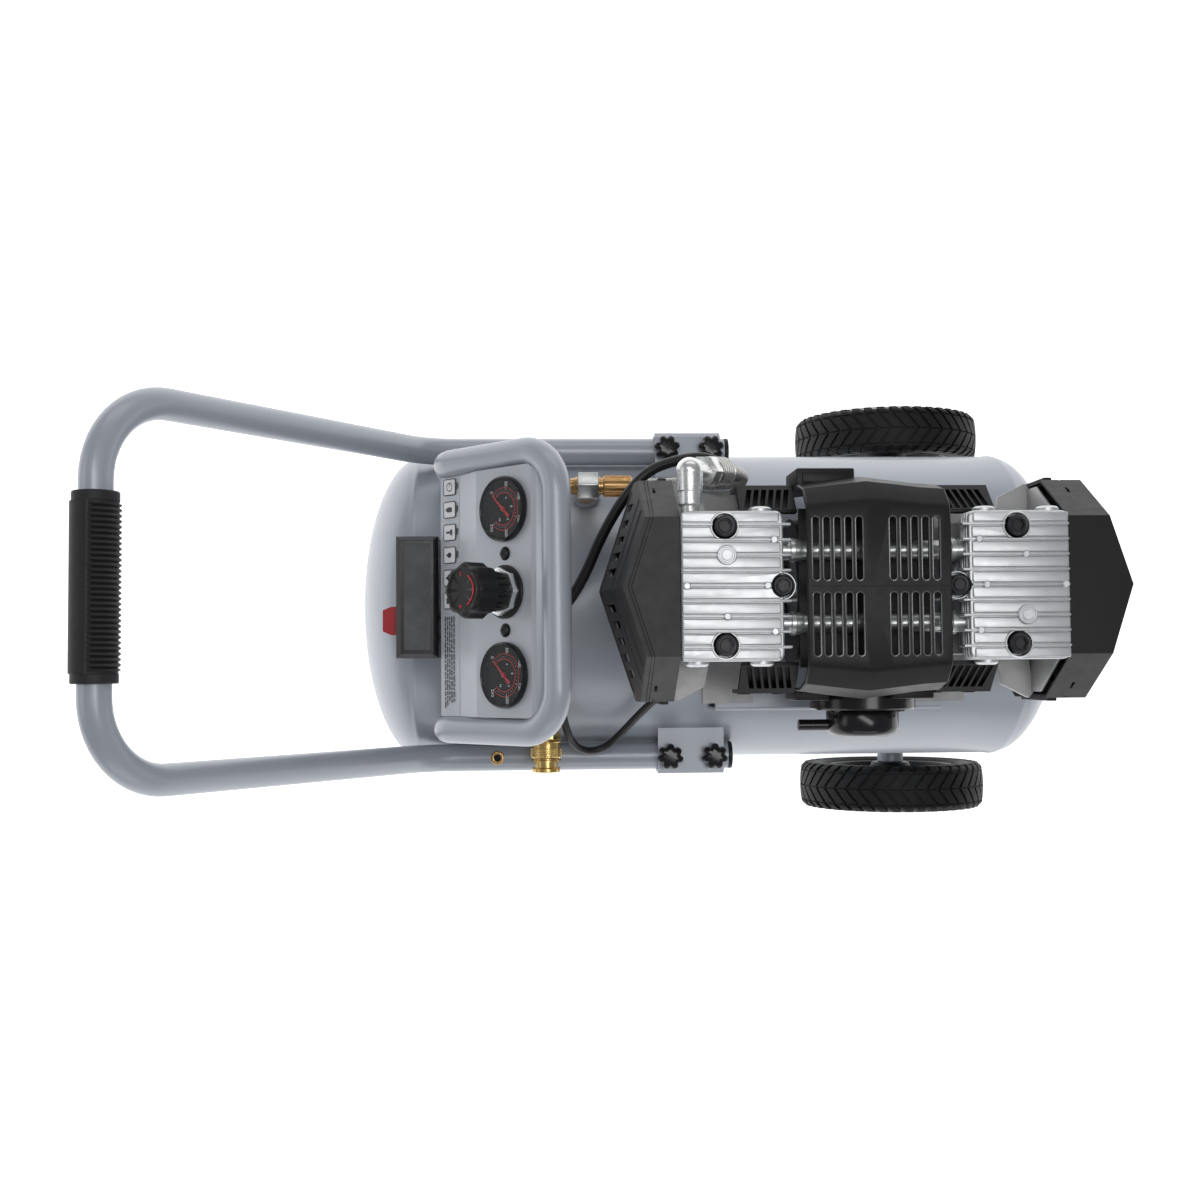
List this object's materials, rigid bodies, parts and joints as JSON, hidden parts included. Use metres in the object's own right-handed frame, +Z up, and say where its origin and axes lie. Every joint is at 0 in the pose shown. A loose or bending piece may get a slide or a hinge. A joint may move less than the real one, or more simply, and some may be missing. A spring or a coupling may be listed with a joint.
{
  "type": "portable air compressor",
  "caption": "Portable air compressor: horizontal tank on wheels and feet, twin-head electric pump on top, sloping gauge panel in a guard hoop, and a raised tube handle.",
  "frame": {"origin": "middle of the machine on the floor it stands on", "axes": "+X from the handle end to the pump and wheel end, +Y to the check valve side, +Z up"},
  "size_m": [0.8409, 0.426, 0.6495],
  "materials": {
    "painted_silver": "satin",
    "cast_aluminium": "satin",
    "zinc_steel": "satin",
    "motor_iron": "matte",
    "bright_chrome": "mirror",
    "brass": "satin",
    "black_plastic": "matte",
    "gloss_black": "gloss",
    "switch_grey": "matte",
    "signal_red": "gloss",
    "black_steel": "satin",
    "soft_rubber": "matte",
    "tyre_rubber": "matte",
    "clear_lens": "clear",
    "braided_steel": "satin",
    "cable_rubber": "satin"
  },
  "bodies": {
    "frame": {"air_tank": "painted_silver", "handle_brackets": "painted_silver", "guard_hoop": "painted_silver", "control_panel": "painted_silver", "saddle_plate": "painted_silver", "foot_bracket": "painted_silver", "axle_brackets": "painted_silver", "cylinder_head_front": "cast_aluminium", "cylinder_head_rear": "cast_aluminium", "crankcases": "cast_aluminium", "cylinder_sleeves": "cast_aluminium", "air_manifold": "cast_aluminium", "wheel_axle": "zinc_steel", "valve_plates": "zinc_steel", "motor_bearings": "zinc_steel", "motor_stator": "motor_iron", "regulator_nut": "bright_chrome", "discharge_elbow": "bright_chrome", "transfer_tubes": "bright_chrome", "check_valve": "brass", "coupler_body": "brass", "safety_valve_body": "brass", "regulator_body": "black_plastic", "centre_cover": "black_plastic", "fan_shroud_front": "black_plastic", "fan_shroud_rear": "black_plastic", "side_grilles": "black_plastic", "gauge_cases": "gloss_black", "intake_filter": "gloss_black", "pressure_switch": "switch_grey", "panel_screws": "black_steel", "head_screws": "black_steel", "rubber_feet": "soft_rubber", "rubber_mounts": "soft_rubber", "gauge_lenses": "clear_lens", "discharge_hose": "braided_steel", "switch_cable": "cable_rubber", "motor_cable": "cable_rubber"},
    "handle": {"handle_tube": "painted_silver", "handle_grip": "soft_rubber", "handle_end_plugs": "black_plastic"},
    "star_knob_front_left": {"star_knob_front_left": "gloss_black"},
    "star_knob_rear_left": {"star_knob_rear_left": "gloss_black"},
    "star_knob_front_right": {"star_knob_front_right": "gloss_black"},
    "star_knob_rear_right": {"star_knob_rear_right": "gloss_black"},
    "wheel_left": {"tyre_left": "tyre_rubber", "hub_left": "black_plastic"},
    "wheel_right": {"tyre_right": "tyre_rubber", "hub_right": "black_plastic"},
    "regulator_knob": {"regulator_knob": "black_plastic"},
    "switch_knob": {"switch_knob": "signal_red"},
    "tank_needle": {"tank_gauge_needle": "signal_red"},
    "outlet_needle": {"outlet_gauge_needle": "signal_red"},
    "coupler_sleeve": {"coupler_sleeve": "brass"},
    "drain_valve": {"drain_valve": "brass"},
    "safety_ring": {"safety_ring": "zinc_steel"},
    "motor": {"motor_shaft": "zinc_steel", "cooling_fans": "black_plastic"},
    "piston_front": {"piston_front": "cast_aluminium"},
    "piston_rear": {"piston_rear": "cast_aluminium"}
  },
  "joints": [
    {"name": "handle_slide", "type": "slide", "parent": "frame", "child": "handle", "axis": [1, 0, 0], "range_m": [0, 0.1]},
    {"name": "star_knob_front_left_turn", "type": "hinge", "parent": "frame", "child": "star_knob_front_left", "pos_m": [0.039, 0.1425, 0.36], "axis": [0, 0, 1], "range_deg": [0, 720]},
    {"name": "star_knob_front_right_turn", "type": "hinge", "parent": "frame", "child": "star_knob_front_right", "pos_m": [0.039, -0.1425, 0.36], "axis": [0, 0, 1], "range_deg": [0, 720]},
    {"name": "star_knob_rear_left_turn", "type": "hinge", "parent": "frame", "child": "star_knob_rear_left", "pos_m": [0.08, 0.1425, 0.36], "axis": [0, 0, 1], "range_deg": [0, 720]},
    {"name": "star_knob_rear_right_turn", "type": "hinge", "parent": "frame", "child": "star_knob_rear_right", "pos_m": [0.08, -0.1425, 0.36], "axis": [0, 0, 1], "range_deg": [0, 720]},
    {"name": "wheel_left_spin", "type": "hinge", "parent": "frame", "child": "wheel_left", "pos_m": [0.309, 0.1895, 0.099], "axis": [0, 1, 0], "continuous": true},
    {"name": "wheel_right_spin", "type": "hinge", "parent": "frame", "child": "wheel_right", "pos_m": [0.309, -0.1895, 0.099], "axis": [0, 1, 0], "continuous": true},
    {"name": "regulator_turn", "type": "hinge", "parent": "frame", "child": "regulator_knob", "pos_m": [-0.13287, 0, 0.56419], "axis": [-0.7314, 0, 0.682], "range_deg": [0, 900]},
    {"name": "switch_pull", "type": "slide", "parent": "frame", "child": "switch_knob", "axis": [-1, 0, 0], "range_m": [0, 0.005]},
    {"name": "tank_needle_swing", "type": "hinge", "parent": "frame", "child": "tank_needle", "pos_m": [-0.10983, 0.066, 0.5427], "axis": [0.7314, 0, -0.682], "range_deg": [0, 270]},
    {"name": "outlet_needle_swing", "type": "hinge", "parent": "frame", "child": "outlet_needle", "pos_m": [-0.10983, -0.066, 0.5427], "axis": [0.7314, 0, -0.682], "range_deg": [0, 270]},
    {"name": "coupler_release", "type": "slide", "parent": "frame", "child": "coupler_sleeve", "axis": [0, 1, 0], "range_m": [0, 0.0045], "stiffness_N_per_m": 800},
    {"name": "drain_turn", "type": "hinge", "parent": "frame", "child": "drain_valve", "pos_m": [0.04, 0, 0.1], "axis": [0, 0, 1], "range_deg": [0, 540]},
    {"name": "safety_pull", "type": "slide", "parent": "frame", "child": "safety_ring", "axis": [0, 0, 1], "range_m": [0, 0.004], "stiffness_N_per_m": 1500},
    {"name": "motor_spin", "type": "hinge", "parent": "frame", "child": "motor", "pos_m": [0.1745, 0, 0.51], "axis": [1, 0, 0], "continuous": true},
    {"name": "piston_front_stroke", "type": "slide", "parent": "frame", "child": "piston_front", "axis": [0, 0, 1], "range_m": [-0.009, 0.009]},
    {"name": "piston_rear_stroke", "type": "slide", "parent": "frame", "child": "piston_rear", "axis": [0, 0, 1], "range_m": [-0.009, 0.009]}
  ]
}
